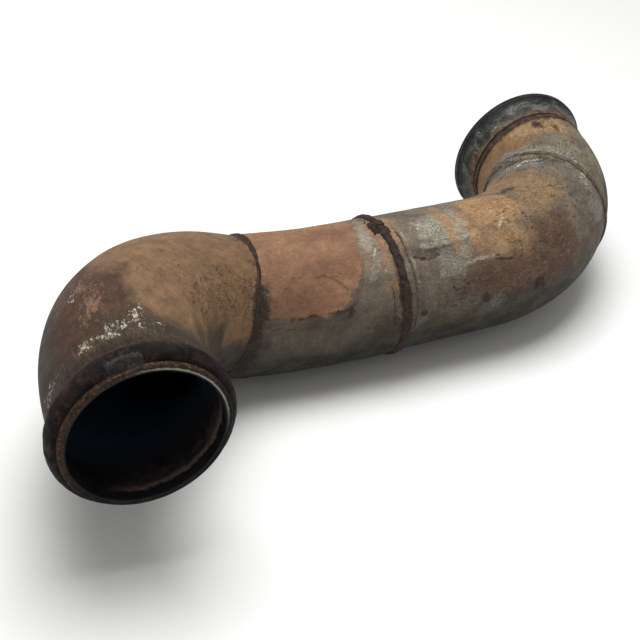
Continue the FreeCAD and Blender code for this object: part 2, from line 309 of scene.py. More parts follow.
def store(piece, name, values, kind="FLOAT", key="value"):
    """Keep a number or a vector for each point, under a name that the materials read."""
    attribute = piece.data.attributes.new(name, kind, "POINT")
    attribute.data.foreach_set(key, np.ascontiguousarray(values, np.float32).ravel())


def store_skin(piece, along, around, radius):
    """Keep the skin's points as if the tube were straight, so that marks can follow it."""
    skin = np.stack([np.cos(around) * radius, np.sin(around) * radius, along], axis=-1)
    store(piece, "skin", skin, "FLOAT_VECTOR", "vector")


def paint_field(marks, strokes, along, around, edge):
    """The strongest of a coat's marks and strokes at each point, from 0 to its strength."""
    field = np.zeros(along.shape)
    for mark in marks:
        field = np.maximum(field, spot(along, around, mark, edge))
    for points, half_width, strength in strokes:
        field = np.maximum(field, stroke(along, around, points, half_width) * strength)
    return field


def tube(name, run, seams, materials, paint, dents, seed):
    """A tube between two seams, with a worn outside, a sooty inside and its wall between.

    Paint lists each coat's marks as (along, round, half length, half angle) and, under the
    coat's name with _lines, its strokes as (places, half width, strength). Dents gives the
    height of the dents at a place, in millimetres.
    """
    around = np.linspace(0, 2 * math.pi, ROUND, endpoint=False)
    rows = int(run.length / GRID)
    share = np.linspace(0, 1, rows)[:, None]
    skins, places = [], []
    for depth in (0.0, -WALL):
        first = run.cut(seams[0], around, depth, ROOT_GAP / 2, 0.0)
        last = run.cut(seams[1], around, depth, -ROOT_GAP / 2, run.length)
        along = first + (last - first) * share
        angle = np.broadcast_to(around, along.shape)
        skin = run.point(along, angle)
        wave = (bumps(skin, TUBE_WAVES, seed) - WAVE_SINK) * MM
        dent = dents(along / MM, np.degrees(angle)) * MM
        skins.append(run.point(along, angle, depth + (wave + dent)))
        places.append((along, angle))
    vertices = np.concatenate([skins[0], skins[1][::-1]])
    piece = mesh_object(name, vertices, ring_faces(2 * rows, ROUND), materials)
    along = np.concatenate([places[0][0], places[1][0][::-1]])
    angle = np.concatenate([places[0][1], places[1][1][::-1]])
    store_skin(piece, along, angle, run.skin)
    inside = np.repeat((np.arange(2 * rows) >= rows).astype(np.int32), ROUND)
    piece.data.polygons.foreach_set("material_index", inside)
    for coat, edge in EDGES.items():
        field = paint_field(paint.get(coat, ()), paint.get(coat + "_lines", ()), along / MM,
                            np.degrees(angle), edge)
        store(piece, coat, field)
    return piece


def turned_piece(name, seam, profile, materials, wear, seed, bore=0.0):
    """A revolved piece, worn down by up to wear millimetres.

    The profile lists (radius, along) in millimetres. What starts inside the radius bore takes
    the second material.
    """
    around = np.linspace(0, 2 * math.pi, BEAD_ROUND, endpoint=False)
    outline = np.array(smoothed(profile)) * MM
    radius = outline[:, 0][:, None]
    along = np.broadcast_to(outline[:, 1][:, None], (len(outline), BEAD_ROUND))
    angle = np.broadcast_to(around, along.shape)
    out = np.stack([np.cos(angle), np.zeros_like(angle), np.sin(angle)], axis=-1)
    flat = out * radius[..., None] + along[..., None] * np.array(ALONG)
    rough = bumps(flat, CLAMP_WAVES, seed)
    flat = flat + out * ((rough - 1.0) * wear * MM * 0.5)[..., None]
    world = flat @ np.array(seam.to_3x3().transposed()) + np.array(seam.translation)
    piece = mesh_object(name, world, ring_faces(len(outline), BEAD_ROUND), materials)
    store_skin(piece, along, angle, radius)
    inside = np.repeat((outline[:, 0] < bore * MM).astype(np.int32), BEAD_ROUND)
    piece.data.polygons.foreach_set("material_index", inside)
    return piece


def smoothed(profile, corner=0.35, step=0.8):
    """The closed profile with rounded corners and extra points along its sides."""
    points = [np.array(p, float) for p in profile]
    result = []
    for index, here in enumerate(points):
        before, after = points[index - 1], points[(index + 1) % len(points)]
        back, forth = before - here, after - here
        cut_back = min(corner, np.linalg.norm(back) / 3)
        cut_forth = min(corner, np.linalg.norm(forth) / 3)
        ahead = forth / np.linalg.norm(forth)
        start = here + back / np.linalg.norm(back) * cut_back
        end = here + ahead * cut_forth
        result += [start, (start + 2 * here + end) / 4, end]
        reach = after - ahead * cut_forth
        count = int(np.linalg.norm(reach - end) / step)
        result += [end + (reach - end) * k / (count + 1) for k in range(1, count + 1)]
    return result


def seam_line(run, seam, guess, angles):
    """Where the run's skin meets the seam, at each angle round the seam's own frame."""
    around = np.linspace(0, 2 * math.pi, SEAM_ROUND, endpoint=False)
    along = run.cut(seam, around, 0.0, 0.0, guess)
    local = (run.point(along, around) - np.array(seam.translation)) @ np.array(seam.to_3x3())
    turn = np.arctan2(local[:, 2], local[:, 0])

    def at(values):
        return np.interp(angles, turn, values, period=2 * math.pi)
    return at(along), np.arctan2(at(np.sin(around)), at(np.cos(around)))


def bead(name, seam, before, after, half_width, crest, drift, material, seed):
    """Weld metal that follows both skins at a seam, with ripples, and runs through the gap.

    Half width, crest and drift are in millimetres. Drift is how far downstream of the seam the
    bead's crown lies.
    """
    angles = np.linspace(-math.pi, math.pi, BEAD_ROUND, endpoint=False)
    before_seam = seam_line(before, seam, before.length, angles)
    after_seam = seam_line(after, seam, 0.0, angles)
    circle = np.stack([np.cos(angles), np.sin(angles), np.full_like(angles, seed)], axis=-1)
    swell = 0.30 * bump_at(circle, 0.19, seed) + 0.20 * bump_at(circle, 0.06, seed + 4)
    width = half_width * (0.92 + swell + 0.10 * bump_at(circle, 0.02, seed + 5))
    drift = drift + 0.5 * bump_at(circle, 0.14, seed + 6)
    height = crest * (0.84 + 0.16 * bump_at(circle, 0.16, seed + 1))
    pitch = RIPPLE_PITCH + 0.5 * bump_at(circle, 0.2, seed + 2)
    rows = []
    for share in np.linspace(-1, 1, BEAD_ROWS):
        lag = RIPPLE_LAG * share * share
        ripple = np.sin(angles * TUBE_RADIUS / MM * 2 * math.pi / pitch + lag)
        crown = math.sqrt(max(1 - share * share, 0))
        grain = 0.12 * bump_at(circle + share * 0.1, 0.02, seed + 3)
        lift = crown * height * (0.93 + 0.07 * ripple + grain) - BEAD_SINK
        rows.append((share * width + drift, lift))
    rows += [(np.full_like(angles, x), np.full_like(angles, h)) for x, h in BEAD_ROOT]
    rings = []
    for offset, lift in rows:
        offset, lift = offset * MM, lift * MM
        first = before.point(before_seam[0] + np.minimum(offset, 0), before_seam[1], lift)
        second = after.point(after_seam[0] + np.maximum(offset, 0), after_seam[1], lift)
        share = np.clip(0.5 + offset / (2 * MM), 0, 1)[:, None]
        rings.append(first * (1 - share) + second * share)
    faces = ring_faces(len(rows), BEAD_ROUND)
    return mesh_object(name, np.array(rings), faces, [material])


def patch(name, seam, run, turn, place, base, rise, top, material, seed):
    """A rough lump of weld metal on a skin, beside the seam at the run's end.

    Turn is (angle, sweep) round the seam in degrees and place (offset, half width) along it, in
    millimetres. Base gives the height of what lies below it at an offset, rise is the lump's own
    height and top the greatest height above the skin that it may reach.
    """
    columns = int(turn[1] * PATCH_PITCH)
    angles = np.radians(turn[0] + turn[1] / 2 * np.linspace(-1, 1, columns))
    start, around = seam_line(run, seam, run.length, angles)
    lengthways = np.linspace(-1, 1, columns)[None, :]
    across = np.linspace(-1, 1, PATCH_ROWS)[:, None]
    uneven = np.stack(np.broadcast_arrays(lengthways * turn[1], across * 4, seed * 1.0), axis=-1)
    offset = place[0] + across * place[1] * (1 + 0.25 * bump_at(uneven, 9.0, seed))
    wobble = 1.12 + 0.30 * bump_at(uneven, 4.0, seed + 2)
    crown = np.clip((1 - (lengthways * wobble) ** 4) * (1 - (across * wobble) ** 4), 0, 1) ** 0.6
    rough = 0.74 + 0.42 * bump_at(uneven, 2.6, seed) + 0.32 * bump_at(uneven, 1.1, seed + 1)
    hump = (rise + PATCH_SPARE) * crown * rough
    lift = np.minimum(base(offset) - PATCH_SINK + hump, top)
    around = np.broadcast_to(around, offset.shape)
    upper = run.point(start + offset * MM, around, lift * MM)
    under = run.point(start + offset * MM, around, (base(offset) - PATCH_FLOOR) * MM)
    flat = np.concatenate([upper.reshape(-1, 3), under.reshape(-1, 3)])
    return mesh_object(name, flat, shell_faces(PATCH_ROWS, columns), [material])


def shell_faces(rows, columns):
    """Quads of two grids, one over the other, joined all round their edges."""
    row, column = np.meshgrid(np.arange(rows - 1), np.arange(columns - 1), indexing="ij")
    first = (row * columns + column).ravel()
    upper = np.stack([first, first + 1, first + columns + 1, first + columns], axis=-1)
    lower = upper[:, ::-1] + rows * columns
    edge = list(range(columns - 1))
    edge += [r * columns + columns - 1 for r in range(rows - 1)]
    edge += [(rows - 1) * columns + c for c in range(columns - 1, 0, -1)]
    edge += [r * columns for r in range(rows - 1, 0, -1)]
    edge = np.array(edge)
    following = np.roll(edge, -1)
    sides = np.stack([edge, edge + rows * columns, following + rows * columns, following], axis=-1)
    return np.concatenate([upper, lower, sides])


# Node materials

class Look:
    """A node material while it is put together."""

    def __init__(self, name, specular=0.14):
        self.material = bpy.data.materials.new(name)
        self.material.use_nodes = True
        self.tree = self.material.node_tree
        self.shader = self.tree.nodes["Principled BSDF"]
        self.shader.inputs["Specular IOR Level"].default_value = specular
        self.place = self.add("ShaderNodeTexCoord").outputs["Object"]

    def add(self, kind, **settings):
        node = self.tree.nodes.new(kind)
        for key, value in settings.items():
            setattr(node, key, value)
        return node

    def feed(self, socket, value):
        """Link a socket, or set it when the value is plain."""
        if isinstance(value, bpy.types.NodeSocket):
            self.tree.links.new(value, socket)
        elif isinstance(value, tuple):
            socket.default_value = (*value, 1.0) if len(socket.default_value) == 4 else value
        else:
            socket.default_value = value

    def skin(self, stretch):
        """Coordinates of the straightened skin, squeezed along it so that marks run lengthways."""
        source = self.add("ShaderNodeAttribute", attribute_name="skin").outputs["Vector"]
        node = self.add("ShaderNodeVectorMath", operation="MULTIPLY")
        self.feed(node.inputs[0], source)
        self.feed(node.inputs[1], (1.0, 1.0, 1.0 / stretch))
        return node.outputs[0]

    def noise(self, size, detail=4.0, rough=0.6, warp=0.0, where=None):
        """Noise from 0 to 1 with features about size metres wide."""
        node = self.add("ShaderNodeTexNoise")
        self.feed(node.inputs["Vector"], where or self.place)
        self.feed(node.inputs["Scale"], 1 / size)
        self.feed(node.inputs["Detail"], detail)
        self.feed(node.inputs["Roughness"], rough)
        self.feed(node.inputs["Distortion"], warp)
        return node.outputs[0]

    def cells(self, size, where=None):
        """Distance to the nearest of many scattered points, in cells."""
        node = self.add("ShaderNodeTexVoronoi")
        self.feed(node.inputs["Vector"], where or self.place)
        self.feed(node.inputs["Scale"], 1 / size)
        return node.outputs[0]

    def field(self, name):
        return self.add("ShaderNodeAttribute", attribute_name=name).outputs["Fac"]

    def parts(self, vector):
        """The three components of a vector."""
        node = self.add("ShaderNodeSeparateXYZ")
        self.feed(node.inputs[0], vector)
        return node.outputs

    def math(self, operation, a, b, c=0.0):
        node = self.add("ShaderNodeMath", operation=operation)
        for socket, value in zip(node.inputs, (a, b, c)):
            self.feed(socket, value)
        return node.outputs[0]

    def times(self, a, b, plus=0.0):
        """The product of two values, with a third added."""
        return self.math("MULTIPLY_ADD", a, b, plus)

    def ramp(self, value, low, high, start=0.0, end=1.0):
        """A smooth step of the value between low and high."""
        node = self.add("ShaderNodeMapRange", interpolation_type="SMOOTHSTEP")
        for socket, item in zip(node.inputs, (value, low, high, start, end)):
            self.feed(socket, item)
        return node.outputs[0]

    def grey(self, tone):
        """The same tone on all three channels."""
        node = self.add("ShaderNodeCombineColor")
        for socket in node.inputs:
            self.feed(socket, tone)
        return node.outputs[0]

    def mix(self, share, a, b, blend="MIX"):
        node = self.add("ShaderNodeMix", data_type="RGBA", blend_type=blend)
        for socket, value in zip((node.inputs[0], node.inputs[6], node.inputs[7]), (share, a, b)):
            self.feed(socket, value)
        return node.outputs[2]

    def broken(self, coat):
        """How far a coat covers: its field, less its bias, with an edge broken up by noise."""
        size = coat.size * MM
        fine = self.noise(size, detail=6.0, rough=0.72, where=self.skin(coat.stretch))
        coarse = self.noise(size * 4.5, detail=3.0)
        grain = self.times(fine, 1 - coat.coarse)
        grain = self.times(coarse, coat.coarse, grain)
        level = self.math("ADD", self.field(coat.field), -coat.bias)
        shift = self.math("SUBTRACT", grain, 0.5)
        shifted = self.times(shift, coat.reach, level)
        return self.ramp(shifted, -coat.soft, coat.soft)

    def finish(self, colour, roughness, height, depth):
        """Connect the shader. Depth is how far the height can raise the surface, in metres."""
        bump = self.add("ShaderNodeBump")
        self.feed(bump.inputs["Distance"], depth)
        self.feed(bump.inputs["Height"], height)
        self.feed(self.shader.inputs["Normal"], bump.outputs[0])
        self.feed(self.shader.inputs["Base Color"], colour)
        self.feed(self.shader.inputs["Roughness"], roughness)
        return self.material


class Layer(NamedTuple):
    """One coat of a weathered surface, which shows where its field passes the bias.

    The two colours are mottled together. Size is the break-up in millimetres, reach how far
    noise moves the edge, soft how gradual the edge is, lift how proud the coat stands, stretch
    how much longer its marks are along the tube, and coarse the share of the break-up that
    comes from larger noise.
    """
    field: str
    one: tuple
    other: tuple
    size: float
    reach: float = 1.8
    soft: float = 0.2
    bias: float = 0.5
    roughness: float = 0.65
    lift: float = 0.0
    stretch: float = 1.4
    coarse: float = 0.5


def steel(name, ground, coats, roughness, grain):
    """Heat-scaled tube steel: a mottled ground, then coats placed by the mesh's fields.

    Grain is how far the finest mottling lightens or darkens the colour.
    """
    dot_brown, pit_brown = (0.036, 0.025, 0.018), (0.050, 0.034, 0.025)
    scuff_tan = (0.330, 0.290, 0.230)
    look = Look(name)
    lengthways = look.skin(1.7)
    colour = look.mix(look.ramp(look.noise(0.024, 5.0, 0.62, 0.6), 0.36, 0.64), *ground)
    rough = look.ramp(look.noise(0.012, 4.0), 0.3, 0.7, roughness - 0.08, roughness + 0.1)
    height = look.noise(0.0022, 5.0, 0.7)
    for coat in coats:
        share = look.broken(coat)
        mottle = look.noise(coat.size * 0.6 * MM, 5.0, 0.68, 0.3, lengthways)
        mixed = look.mix(look.ramp(mottle, 0.36, 0.64), coat.one, coat.other)
        colour = look.mix(share, colour, mixed)
        rough = look.times(share, coat.roughness - roughness, rough)
        height = look.times(share, coat.lift, height)
    broad = look.ramp(look.noise(0.013, 4.0, 0.6, 0.4), 0.3, 0.7, 0.72, 0.98)
    fine = look.noise(0.0014, 6.0, 0.82, 0.0, lengthways)
    fine = look.ramp(fine, 0.30, 0.70, 0.96 - grain, 0.96 + grain)
    colour = look.mix(1.0, colour, look.grey(look.times(broad, fine)), "MULTIPLY")
    dots = look.ramp(look.noise(0.0014, 4.0, 0.75), 0.60, 0.66, 0.0, 0.6)
    colour = look.mix(dots, colour, dot_brown)
    scuff = look.ramp(look.noise(0.0011, 4.0, 0.8, 0.0, look.skin(5.0)), 0.63, 0.70, 0.0, 0.35)
    colour = look.mix(scuff, colour, scuff_tan)
    pit = look.ramp(look.cells(0.0046, look.skin(1.5)), 0.12, 0.26, 1.0, 0.0)
    pit = look.times(pit, look.ramp(look.noise(0.011, 3.0), 0.54, 0.62))
    colour = look.mix(look.times(pit, 0.65), colour, pit_brown)
    height = look.times(pit, -0.9, height)
    height = look.times(look.noise(0.0008, 3.0, 0.6), 0.4, height)
    return look.finish(colour, rough, height, depth=0.45 * MM)


def common_coats(speck_bias=1.28):
    """The coats that every tube has: grime and painted shade below, scorch and painted shade by
    seams, dark specks, pale flakes.
    """
    return [
        # Grime: near-black dirt, partly painted shade on the undersides.
        Layer("grime_and_shade", (0.020, 0.018, 0.013), (0.048, 0.042, 0.029), 16, 1.4, 0.44),
        # Scorch: heat-darkened metal, partly painted shade beside the seams, the ridge and the
        # dents.
        Layer("scorch_and_shade", (0.030, 0.020, 0.015), (0.066, 0.042, 0.029), 3, 2.4, 0.25, lift=0.3),
        Layer("speck", (0.060, 0.037, 0.025), (0.104, 0.064, 0.042), 2.1, 3.6, 0.20,
              bias=speck_bias, lift=-0.4, stretch=1.8, coarse=0.3),
        Layer("flake", (0.60, 0.57, 0.46), (0.38, 0.33, 0.25), 1.4, 5.6, 0.14, bias=0.92,
              roughness=0.8, lift=0.9, coarse=0.35),
    ]


def elbow_steel():
    return steel("elbow_steel", ((0.094, 0.058, 0.038), (0.060, 0.042, 0.029)), [
        Layer("red", (0.100, 0.050, 0.031), (0.062, 0.036, 0.025), 8, 2.2, 0.3, lift=0.2),
        Layer("scale", (0.240, 0.140, 0.073), (0.190, 0.110, 0.058), 9, 1.9, 0.30, lift=0.5),
        Layer("veil", (0.105, 0.078, 0.048), (0.060, 0.048, 0.032), 4, 3.0, 0.5, stretch=3.0),
        Layer("rust", (0.258, 0.146, 0.092), (0.160, 0.086, 0.054), 2.0, 4.4, 0.22, bias=0.78,
              lift=0.4, stretch=2.6, coarse=0.3),
    ] + common_coats(speck_bias=1.18), roughness=0.68, grain=0.19)


def middle_steel():
    return steel("middle_steel", ((0.180, 0.144, 0.108), (0.118, 0.097, 0.073)), [
        # Bare metal, partly a painted sheen on the top of the tube.
        Layer("bare_and_sheen", (0.400, 0.350, 0.265), (0.235, 0.205, 0.158), 3, 2.8, 0.3, roughness=0.45,
              lift=-0.2),
        Layer("veil", (0.105, 0.084, 0.058), (0.070, 0.056, 0.040), 4, 2.4, 0.4),
        Layer("scale", (0.325, 0.178, 0.098), (0.262, 0.143, 0.082), 7, 2.0, 0.09, lift=0.7),
        Layer("red", (0.240, 0.122, 0.074), (0.205, 0.106, 0.064), 8, 1.8, 0.5),
        Layer("rust", (0.360, 0.200, 0.100), (0.215, 0.122, 0.072), 1.8, 3.6, 0.25, bias=0.62,
              lift=0.2),
    ] + common_coats(), roughness=0.64, grain=0.18)


def bend_steel():
    return steel("bend_steel", ((0.192, 0.156, 0.116), (0.122, 0.097, 0.073)), [
        Layer("red", (0.150, 0.086, 0.057), (0.106, 0.069, 0.049), 6, 2.2, 0.36, lift=0.2),
        Layer("scale", (0.290, 0.182, 0.096), (0.210, 0.146, 0.084), 5, 2.2, 0.36, lift=0.3),
        Layer("veil", (0.255, 0.230, 0.192), (0.140, 0.120, 0.097), 2.2, 2.8, 0.14, roughness=0.55,
              lift=0.6),
        # Bare metal, partly a painted sheen on the top and a painted highlight along the crease.
        Layer("bare_and_sheen", (0.400, 0.372, 0.300), (0.215, 0.195, 0.154), 3, 3.0, 0.36, roughness=0.42,
              lift=-0.1),
        Layer("rust", (0.430, 0.262, 0.130), (0.285, 0.166, 0.084), 4, 2.2, 0.4, lift=0.3),
    ] + common_coats(), roughness=0.62, grain=0.34)


def stub_steel():
    return steel("stub_steel", ((0.215, 0.180, 0.122), (0.150, 0.122, 0.084)), [
        Layer("red", (0.130, 0.083, 0.055), (0.096, 0.068, 0.048), 6, 2.2, 0.36, lift=0.2),
        Layer("scale", (0.262, 0.152, 0.078), (0.196, 0.116, 0.062), 5, 1.8, 0.3, lift=0.4),
        Layer("rust", (0.400, 0.262, 0.132), (0.275, 0.180, 0.094), 4, 1.8, 0.36, lift=0.3),
        Layer("veil", (0.330, 0.296, 0.240), (0.160, 0.136, 0.108), 2.4, 3.0, 0.2, lift=0.4),
    ] + common_coats(), roughness=0.64, grain=0.33)


def soot():
    """The black inside: bluish deep in the elbow, with rust-brown patches and a band on the lower
    right below the inlet's mouth, partly rust and partly a painted sheen and edge highlight.
    """
    black, warm_black, brown = (0.004, 0.006, 0.008), (0.012, 0.010, 0.009), (0.040, 0.025, 0.016)
    blue, dull_rust_sheen, rust = (0.032, 0.054, 0.078), (0.052, 0.040, 0.036), (0.135, 0.094, 0.076)
    look = Look("soot")
    colour = look.mix(look.ramp(look.noise(0.020, 5.0), 0.35, 0.7), black, warm_black)
    browned = look.ramp(look.noise(0.009, 6.0, 0.7), 0.60, 0.74, 0.0, 0.6)
    colour = look.mix(browned, colour, brown)
    across, along, upward = look.parts(look.place)
    deep = look.ramp(along, 0.020, 0.060)
    deep = look.times(deep, look.ramp(along, 0.19, 0.25, 1.0, 0.0))
    colour = look.mix(deep, colour, blue)
    # Lower right near the mouth: rust-brown patches, partly a painted sheen, then a brighter band
    # painted as the highlight of an inner edge.
    low = look.ramp(look.math("SUBTRACT", across, upward), 0.020, 0.056)
    ragged = look.times(look.noise(0.007, 6.0, 0.72), 0.010, along)
    past = look.ramp(ragged, 0.0115, 0.0135)
    near = look.times(past, look.ramp(along, 0.010, 0.040, 1.0, 0.0))
    patchy = look.ramp(look.noise(0.012, 6.0, 0.72, 0.5), 0.36, 0.70, 0.2, 1.0)
    rusty = look.times(look.times(low, near), patchy)
    colour = look.mix(rusty, colour, dull_rust_sheen)
    rust_highlight_band = look.times(past, look.ramp(ragged, 0.0140, 0.0175, 1.0, 0.0))
    rust_highlight_band = look.times(look.times(rust_highlight_band, low), 0.8)
    colour = look.mix(rust_highlight_band, colour, rust)
    rough = look.ramp(look.noise(0.006, 4.0), 0.3, 0.7, 0.45, 0.72)
    return look.finish(colour, rough, look.noise(0.0016, 5.0, 0.7), depth=0.4 * MM)


def weld_metal(name, dark, brown, pale, share):
    """Scaled weld metal: dark with brown crowns, and more pale flecks the higher the share."""
    crevice_black = (0.012, 0.009, 0.008)
    look = Look(name)
    colour = look.mix(look.ramp(look.noise(0.005, 6.0, 0.72), 0.38, 0.62), dark, brown)
    deep = look.ramp(look.noise(0.0018, 5.0, 0.8), 0.34, 0.50, 0.7, 0.0)
    colour = look.mix(deep, colour, crevice_black)
    flecks = look.ramp(look.noise(0.0022, 6.0, 0.78), 0.66 - share, 0.74 - share, 0.0, 0.7)
    colour = look.mix(flecks, colour, pale)
    rough = look.ramp(look.noise(0.005, 4.0), 0.3, 0.7, 0.56, 0.82)
    return look.finish(colour, rough, look.noise(0.0013, 6.0, 0.78), depth=0.5 * MM)


def ridge_steel():
    """Near-black brown crust, worn to a reddish brown with gold flecks on its upper left, and left
    near-black on its lower right as painted shade.
    """
    black, brown = (0.005, 0.004, 0.004), (0.016, 0.011, 0.010)
    red_brown, gold_brown = (0.056, 0.030, 0.023), (0.120, 0.080, 0.046)
    look = Look("ridge_steel", specular=0.08)
    across, _, upward = look.parts(look.place)
    colour = look.mix(look.ramp(look.noise(0.012, 6.0, 0.68), 0.36, 0.62), black, brown)
    # The worn colours fade towards the lower right, which stays near-black as painted shade.
    worn_lit_upper_left = look.times(across, -0.7, look.times(upward, 0.7))
    worn_lit_upper_left = look.ramp(worn_lit_upper_left, -0.010, 0.050, 0.15, 1.0)
    red = look.ramp(look.noise(0.009, 6.0, 0.74), 0.50, 0.66, 0.0, 0.75)
    colour = look.mix(look.times(red, worn_lit_upper_left), colour, red_brown)
    gold = look.ramp(look.noise(0.0020, 6.0, 0.8), 0.64, 0.71, 0.0, 0.5)
    colour = look.mix(look.times(gold, worn_lit_upper_left), colour, gold_brown)
    rough = look.ramp(look.noise(0.005, 4.0), 0.3, 0.7, 0.55, 0.80)
    return look.finish(colour, rough, look.noise(0.0022, 6.0, 0.78), depth=0.6 * MM)


def collar_steel():
    """The spigot's dark lip: red and gold on its upper left, bare by the bore on its upper right,
    partly as a painted highlight, and near-black below, partly as painted shade.
    """
    black, brown, red_brown = (0.006, 0.005, 0.004), (0.017, 0.012, 0.009), (0.062, 0.034, 0.022)
    gold_brown, bare_grey_and_highlight = (0.240, 0.165, 0.085), (0.330, 0.335, 0.275)
    look = Look("collar_steel", specular=0.08)
    across, _, upward = look.parts(look.place)
    square = look.times(across, across, look.times(upward, upward))
    radius = look.math("SQRT", square, 0.0)
    colour = look.mix(look.ramp(look.noise(0.009, 6.0, 0.68), 0.36, 0.64), black, brown)
    # Red and gold show only high on the upper left; the lower half stays near-black, partly as
    # painted shade.
    worn_lit_upper_left = look.times(across, -0.6, look.times(upward, 0.8))
    worn_lit_upper_left = look.times(look.noise(0.014, 4.0), 0.05, worn_lit_upper_left)
    high = look.ramp(worn_lit_upper_left, 0.014, 0.050)
    red = look.ramp(look.noise(0.005, 6.0, 0.78), 0.42, 0.58, 0.15, 0.9)
    colour = look.mix(look.times(red, high), colour, red_brown)
    gold = look.ramp(look.noise(0.0016, 6.0, 0.8), 0.55, 0.63, 0.0, 0.9)
    colour = look.mix(look.times(gold, high), colour, gold_brown)
    # Bare grey by the bore on the upper right: worn metal and partly a painted highlight.
    worn_lit_upper_right = look.times(look.noise(0.004, 6.0, 0.75), 0.040, across)
    worn_lit_upper_right = look.times(look.ramp(worn_lit_upper_right, 0.000, 0.030), look.ramp(upward, -0.008, 0.026))
    inner = look.times(look.noise(0.003, 5.0, 0.75), 0.0024, radius)
    inner = look.ramp(inner, 0.0496, 0.0508, 0.95, 0.0)
    colour = look.mix(look.times(worn_lit_upper_right, inner), colour, bare_grey_and_highlight)
    rough = look.ramp(look.noise(0.005, 4.0), 0.3, 0.7, 0.48, 0.76)
    return look.finish(colour, rough, look.noise(0.0018, 6.0, 0.78), depth=0.5 * MM)


def flange_steel():
    """Dark rim, grey cone with pale streaks round it and a rusty band by the weld."""
    dark, grey, rim_black = (0.014, 0.015, 0.014), (0.058, 0.058, 0.050), (0.010, 0.011, 0.011)
    pale_grey, white_grey = (0.150, 0.162, 0.142), (0.280, 0.290, 0.250)
    rust_brown, rust_orange = (0.050, 0.031, 0.022), (0.190, 0.104, 0.052)
    look = Look("flange_steel")
    along = look.parts(look.skin(1.0))[2]
    streaks = look.skin(0.4)
    colour = look.mix(look.ramp(look.noise(0.008, 6.0, 0.72), 0.38, 0.62), dark, grey)
    pale = look.ramp(look.noise(0.016, 6.0, 0.76, 0.6, streaks), 0.46, 0.62, 0.0, 0.8)
    colour = look.mix(pale, colour, pale_grey)
    white = look.ramp(look.noise(0.010, 6.0, 0.8, 0.8, streaks), 0.57, 0.67, 0.0, 0.7)
    colour = look.mix(white, colour, white_grey)
    edge = look.times(look.noise(0.012, 6.0, 0.76, 0.4, streaks), 0.020, along)
    colour = look.mix(look.ramp(edge, 0.0235, 0.0290, 0.0, 0.88), colour, rim_black)
    ragged = look.times(look.noise(0.016, 6.0, 0.72), 0.024, along)
    rusty = look.ramp(ragged, 0.0190, 0.0230, 0.9, 0.0)
    tone = look.ramp(look.noise(0.005, 6.0, 0.75), 0.40, 0.62)
    colour = look.mix(rusty, colour, look.mix(tone, rust_brown, rust_orange))
    rough = look.ramp(look.noise(0.006, 4.0), 0.3, 0.7, 0.34, 0.62)
    return look.finish(colour, rough, look.noise(0.0020, 5.0, 0.75), depth=0.4 * MM)


# Sub-parts

def elbow_piece(runs, seams, inside):
    paint = {
        "red": [(50, 200, 55, 42), (12, 210, 14, 44)],
        "scale": [(130, 284, 102, 45), (156, 232, 78, 28), (190, 190, 60, 60), (170, 334, 34, 15)],
        "veil": [(30, 308, 26, 10), (78, 328, 28, 9)],
        "rust": [(45, 221, 19, 9), (66, 211, 12, 9), (58, 192, 16, 5), (9, 235, 9, 50)],
        # Grime is partly painted shade below and in a band behind the ridge; scorch is partly
        # painted shade beside the ridge, the seams and the dent.
        "grime_and_shade": [(176, 26, 76, 30), (90, 88, 160, 58), (-10, 180, 26, 170), (0, 352, 50, 50),
                  (4, 330, 24, 46), (30, 168, 24, 16)],
        "scorch_and_shade": [(203, 328, 15, 26), (213, 270, 5, 40), (20, 155, 14, 12), (0, 230, 7, 90),
                   (214, 0, 4, 60)],
        "scorch_and_shade_lines": [([(30, 240), (48, 242), (58, 240)], 2.2, 0.66)],
        "speck": [(158, 312, 44, 24), (196, 318, 18, 34), (203, 270, 14, 38), (120, 300, 70, 22)],
        "flake": [(13, 210, 4, 5), (15, 220, 3, 7), (16, 230, 6, 5), (18, 238, 5, 5),
                  (26, 247, 7, 5), (22, 250, 12, 3), (21, 262, 4, 4), (10, 172, 4, 10),
                  (62, 206, 6, 3), (37, 251, 8, 2.5)],
    }

    def dents(along, around):
        return -0.5 * stroke(along, around, [(28, 241), (48, 243), (66, 240)], 5)
    return tube("inlet_elbow", runs["elbow"], (seams["inlet"], seams["elbow"]),
                [elbow_steel(), inside], paint, dents, seed=3)


def middle_piece(runs, seams, inside):
    paint = {
        # The bare patch is partly a painted sheen on top; grime is partly painted shade below and
        # scorch partly painted shade beside the seams.
        "bare_and_sheen": [(104, 28, 12, 30)],
        "scale": [(56, -16, 46, 58), (46, 24, 45, 52), (38, 34, 46, 50), (62, 64, 16, 19)],
        "veil": [(104, 108, 13, 15), (54, 90, 28, 5), (64, 246, 34, 14)],
        "red": [(34, 62, 24, 18), (60, 44, 30, 8), (70, 16, 16, 7)],
        "rust": [(112.5, 35, 4, 40), (10, 20, 6, 40), (95, 6, 6, 18), (116, 15, 5, 10),
                 (112, 292, 5, 34)],
        "grime_and_shade": [(60, 152, 90, 46), (-6, 130, 24, 50)],
        "scorch_and_shade": [(76, 86, 3, 3), (6, 68, 7, 16), (3, 92, 5, 12), (118, 88, 2.5, 30),
                   (36, 286, 7, 4), (4, 250, 6, 16)],
        "grime_and_shade_lines": [([(51, 54), (58, 53), (64, 56), (70, 61), (75, 67)], 1.7, 0.60),
                        ([(44, 80), (47, 75)], 1.5, 0.5)],
        "scorch_and_shade_lines": [([(110, 72), (111, 120)], 1.8, 0.7),
                         ([(14, 88), (46, 83.5), (70, 84), (79, 80)], 3.6, 0.60)],
        "speck": [(46, 84, 46, 8), (108, 30, 9, 34), (14, 30, 8, 40), (64, 270, 60, 44)],
        "flake_lines": [([(101, 46), (104, 42), (106, 38)], 2.2, 1.7)],
    }

    def dents(along, around):
        return 0.25 * stroke(along, around, [(108, 60), (109, 130)], 3)
    return tube("middle_tube", runs["middle"], (seams["elbow"], seams["middle"]),
                [middle_steel(), inside], paint, dents, seed=11)


